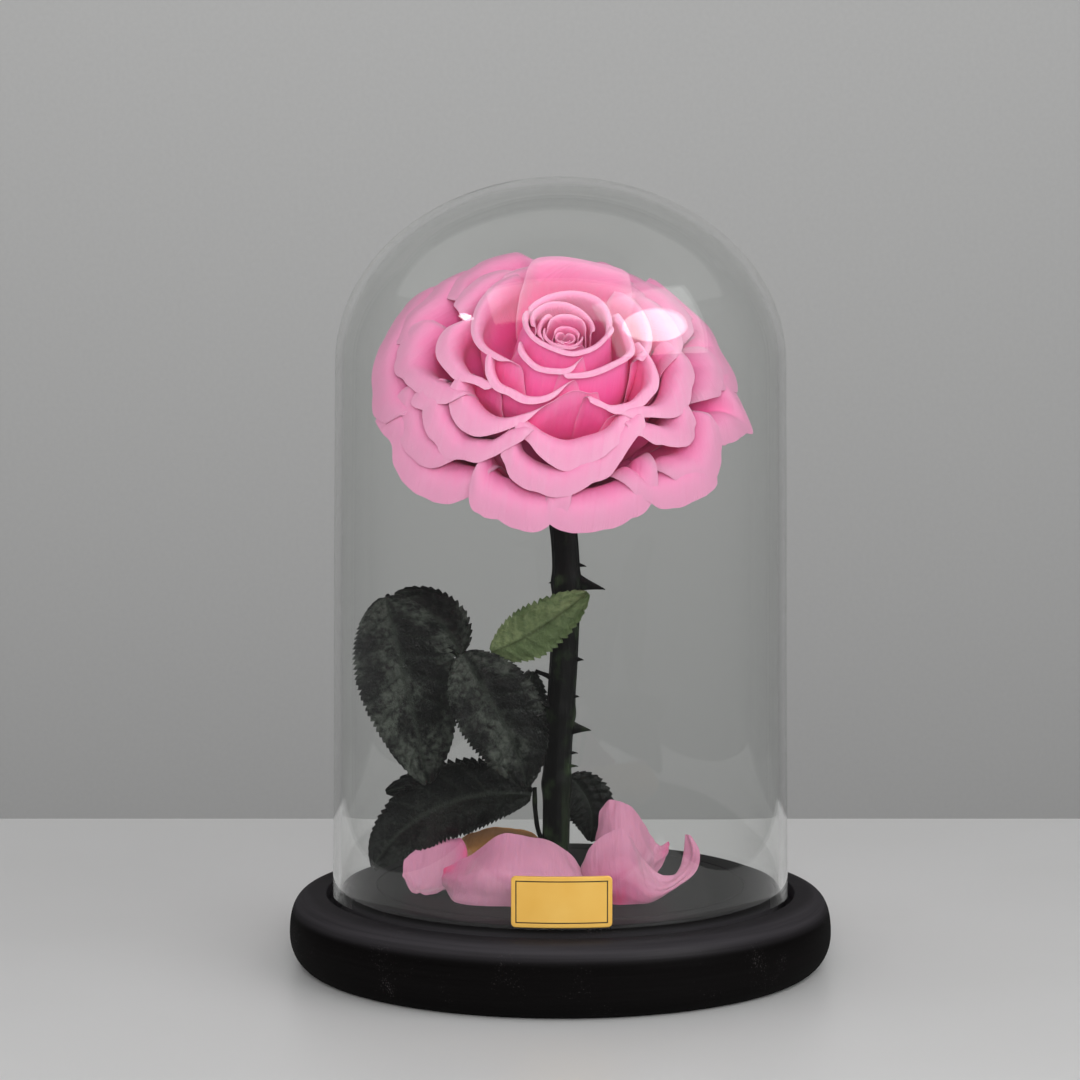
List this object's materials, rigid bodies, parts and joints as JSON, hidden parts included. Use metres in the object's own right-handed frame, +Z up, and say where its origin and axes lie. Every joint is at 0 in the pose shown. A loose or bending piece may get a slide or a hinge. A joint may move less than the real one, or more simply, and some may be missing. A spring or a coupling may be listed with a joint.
{
  "type": "preserved rose in glass dome",
  "caption": "Preserved pink rose with thorned stem, dark leaves and fallen petals, standing on a turned black wooden base under a clear glass dome with a blank gold plate.",
  "frame": {"origin": "middle of the wooden base's flat underside, on the surface that it stands on", "axes": "+Z up along the dome's axis, the plate faces -Y, +X is to the right of someone facing it"},
  "size_m": [0.2, 0.2, 0.2895],
  "materials": {
    "base": "black satin lacquer on turned wood",
    "dome": "clear blown glass, polished",
    "plate": "satin gold metal with a printed black border line",
    "stem": "preserved rose stem, near black green, waxy",
    "leaves": "preserved leaf, black green with a grey sheen",
    "pale_leaf": "preserved leaf seen from its olive underside",
    "petals": "dyed preserved petal, soft matt pink, deeper towards the claw",
    "dried_petal": "dried tan petal"
  },
  "bodies": {
    "root": {"wooden_base": "base", "glass_dome": "dome", "name_plate": "plate", "stem": "stem", "bloom_heart": "petals", "petal_01": "petals", "petal_02": "petals", "petal_03": "petals", "petal_04": "petals", "petal_05": "petals", "petal_06": "petals", "petal_07": "petals", "petal_08": "petals", "petal_09": "petals", "petal_10": "petals", "petal_11": "petals", "petal_12": "petals", "petal_13": "petals", "petal_14": "petals", "petal_15": "petals", "petal_16": "petals", "petal_17": "petals", "petal_18": "petals", "petal_19": "petals", "petal_20": "petals", "petal_21": "petals", "petal_22": "petals", "petal_23": "petals", "petal_24": "petals", "petal_25": "petals", "petal_26": "petals", "petal_27": "petals", "petal_28": "petals", "petal_29": "petals", "petal_30": "petals", "petal_31": "petals", "petal_32": "petals", "petal_33": "petals", "petal_34": "petals", "petal_35": "petals", "petal_36": "petals", "petal_37": "petals", "petal_38": "petals", "petal_39": "petals", "petal_40": "petals", "petal_41": "petals", "leaf_left": "leaves", "leaf_behind": "leaves", "leaf_middle": "leaves", "leaf_small": "pale_leaf", "leaf_by_stem": "leaves", "leaf_low_back": "leaves", "leaf_low_front": "leaves", "leaf_low_right": "leaves", "fallen_petal_front_left": "petals", "fallen_petal_left": "petals", "fallen_petal_front_right": "petals", "fallen_petal_back_right": "petals", "fallen_petal_behind": "dried_petal"}
  },
  "joints": []
}
